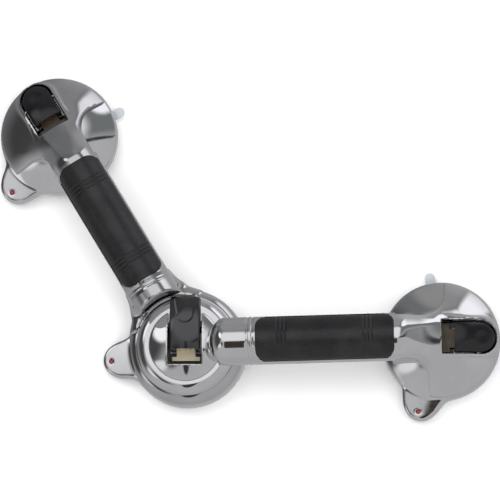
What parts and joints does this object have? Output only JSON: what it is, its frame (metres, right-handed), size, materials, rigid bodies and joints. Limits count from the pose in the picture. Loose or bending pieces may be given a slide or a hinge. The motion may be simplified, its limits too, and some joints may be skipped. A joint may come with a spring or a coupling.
{
  "type": "suction grab bar",
  "caption": "Angled bathroom grab bar: two swivelling chromed tubes with black grips join at a hub; lever-locked suction units hold the hub and both ends to a wall.",
  "frame": {"origin": "on the hub's suction axis, in the plane of the wall that the three cups seal against", "axes": "+Z leaves the wall along the hub's suction axis, +X runs roughly along the right arm, +Y is up the wall in the pictured position"},
  "size_m": [0.4408, 0.3049, 0.0759],
  "materials": {
    "chrome_shell": "mirror-bright chrome plating on plastic",
    "chrome_back": "bright chrome plating",
    "grip_rubber": "matt black soft grip",
    "core_tube": "plain extruded",
    "screw_steel": "zinc plated",
    "post_plastic": "moulded, satin",
    "washer_plastic": "low-friction moulding",
    "spring_steel": "spring steel",
    "cup_rubber": "clear soft elastomer",
    "core_plastic": "moulded",
    "stem_nylon": "cream nylon",
    "pin_steel": "ground",
    "plate_steel": "pressed strip",
    "lever_plastic": "glossy black",
    "indicator_red": "red"
  },
  "bodies": {
    "hub": {"hub_base": "chrome_shell", "hub_cup": "cup_rubber", "hub_cam_plate": "plate_steel", "hub_indicator_spring": "spring_steel", "hub_screws": "screw_steel", "hub_post": "post_plastic", "hub_cap": "chrome_shell", "lower_friction_washer": "washer_plastic", "upper_friction_washer": "washer_plastic", "cap_spring_washer": "spring_steel"},
    "left_arm": {"left_arm_front": "chrome_shell", "left_arm_back": "chrome_back", "left_arm_core": "core_tube", "left_grip": "grip_rubber", "left_arm_screws": "screw_steel", "left_base": "chrome_shell", "left_base_screws": "screw_steel", "left_cup": "cup_rubber", "left_cam_plate": "plate_steel", "left_indicator_spring": "spring_steel"},
    "right_arm": {"right_arm_front": "chrome_shell", "right_arm_back": "chrome_back", "right_arm_core": "core_tube", "right_grip": "grip_rubber", "right_arm_screws": "screw_steel", "right_base": "chrome_shell", "right_base_screws": "screw_steel", "right_cup": "cup_rubber", "right_cam_plate": "plate_steel", "right_indicator_spring": "spring_steel"},
    "hub_stem": {"hub_stem": "stem_nylon", "hub_cup_core": "core_plastic", "hub_lever_pin": "pin_steel"},
    "hub_lever": {"hub_lever": "lever_plastic"},
    "hub_indicator": {"hub_indicator": "indicator_red"},
    "left_stem": {"left_stem": "stem_nylon", "left_cup_core": "core_plastic", "left_lever_pin": "pin_steel"},
    "left_lever": {"left_lever": "lever_plastic"},
    "left_indicator": {"left_indicator": "indicator_red"},
    "right_stem": {"right_stem": "stem_nylon", "right_cup_core": "core_plastic", "right_lever_pin": "pin_steel"},
    "right_lever": {"right_lever": "lever_plastic"},
    "right_indicator": {"right_indicator": "indicator_red"}
  },
  "joints": [
    {"name": "left_arm_swivel", "type": "hinge", "parent": "hub", "child": "left_arm", "pos_m": [0, 0, 0.025], "axis": [0, 0, 1], "range_deg": [-35, 80]},
    {"name": "right_arm_swivel", "type": "hinge", "parent": "hub", "child": "right_arm", "pos_m": [0, 0, 0.037], "axis": [0, 0, 1], "range_deg": [-80, 25]},
    {"name": "hub_stem_draw", "type": "slide", "parent": "hub", "child": "hub_stem", "axis": [0, 0, 1], "range_m": [-0.0027, 0], "deforming": ["hub_cup"]},
    {"name": "hub_lever_hinge", "type": "hinge", "parent": "hub_stem", "child": "hub_lever", "pos_m": [0, 0, 0.0365], "axis": [1, 0, 0], "range_deg": [0, 80]},
    {"name": "hub_indicator_press", "type": "slide", "parent": "hub", "child": "hub_indicator", "axis": [0, 0, 1], "range_m": [-0.0015, 0], "stiffness_N_per_m": 120, "deforming": ["hub_indicator_spring"]},
    {"name": "left_stem_draw", "type": "slide", "parent": "left_arm", "child": "left_stem", "axis": [0, 0, 1], "range_m": [-0.0027, 0], "deforming": ["left_cup"]},
    {"name": "left_lever_hinge", "type": "hinge", "parent": "left_stem", "child": "left_lever", "pos_m": [-0.12452, 0.204, 0.0365], "axis": [0.8536, 0.521, 0], "range_deg": [0, 80]},
    {"name": "left_indicator_press", "type": "slide", "parent": "left_arm", "child": "left_indicator", "axis": [0, 0, 1], "range_m": [-0.0015, 0], "stiffness_N_per_m": 120, "deforming": ["left_indicator_spring"]},
    {"name": "right_stem_draw", "type": "slide", "parent": "right_arm", "child": "right_stem", "axis": [0, 0, 1], "range_m": [-0.0027, 0], "deforming": ["right_cup"]},
    {"name": "right_lever_hinge", "type": "hinge", "parent": "right_stem", "child": "right_lever", "pos_m": [0.23892, 0.00626, 0.0365], "axis": [0.0262, -0.9997, 0], "range_deg": [0, 80]},
    {"name": "right_indicator_press", "type": "slide", "parent": "right_arm", "child": "right_indicator", "axis": [0, 0, 1], "range_m": [-0.0015, 0], "stiffness_N_per_m": 120, "deforming": ["right_indicator_spring"]}
  ],
  "couplings": [
    {"joint": "hub_lever_hinge", "follows": "hub_stem_draw", "rad_per_m": -517},
    {"joint": "left_lever_hinge", "follows": "left_stem_draw", "rad_per_m": -517},
    {"joint": "right_lever_hinge", "follows": "right_stem_draw", "rad_per_m": -517}
  ]
}
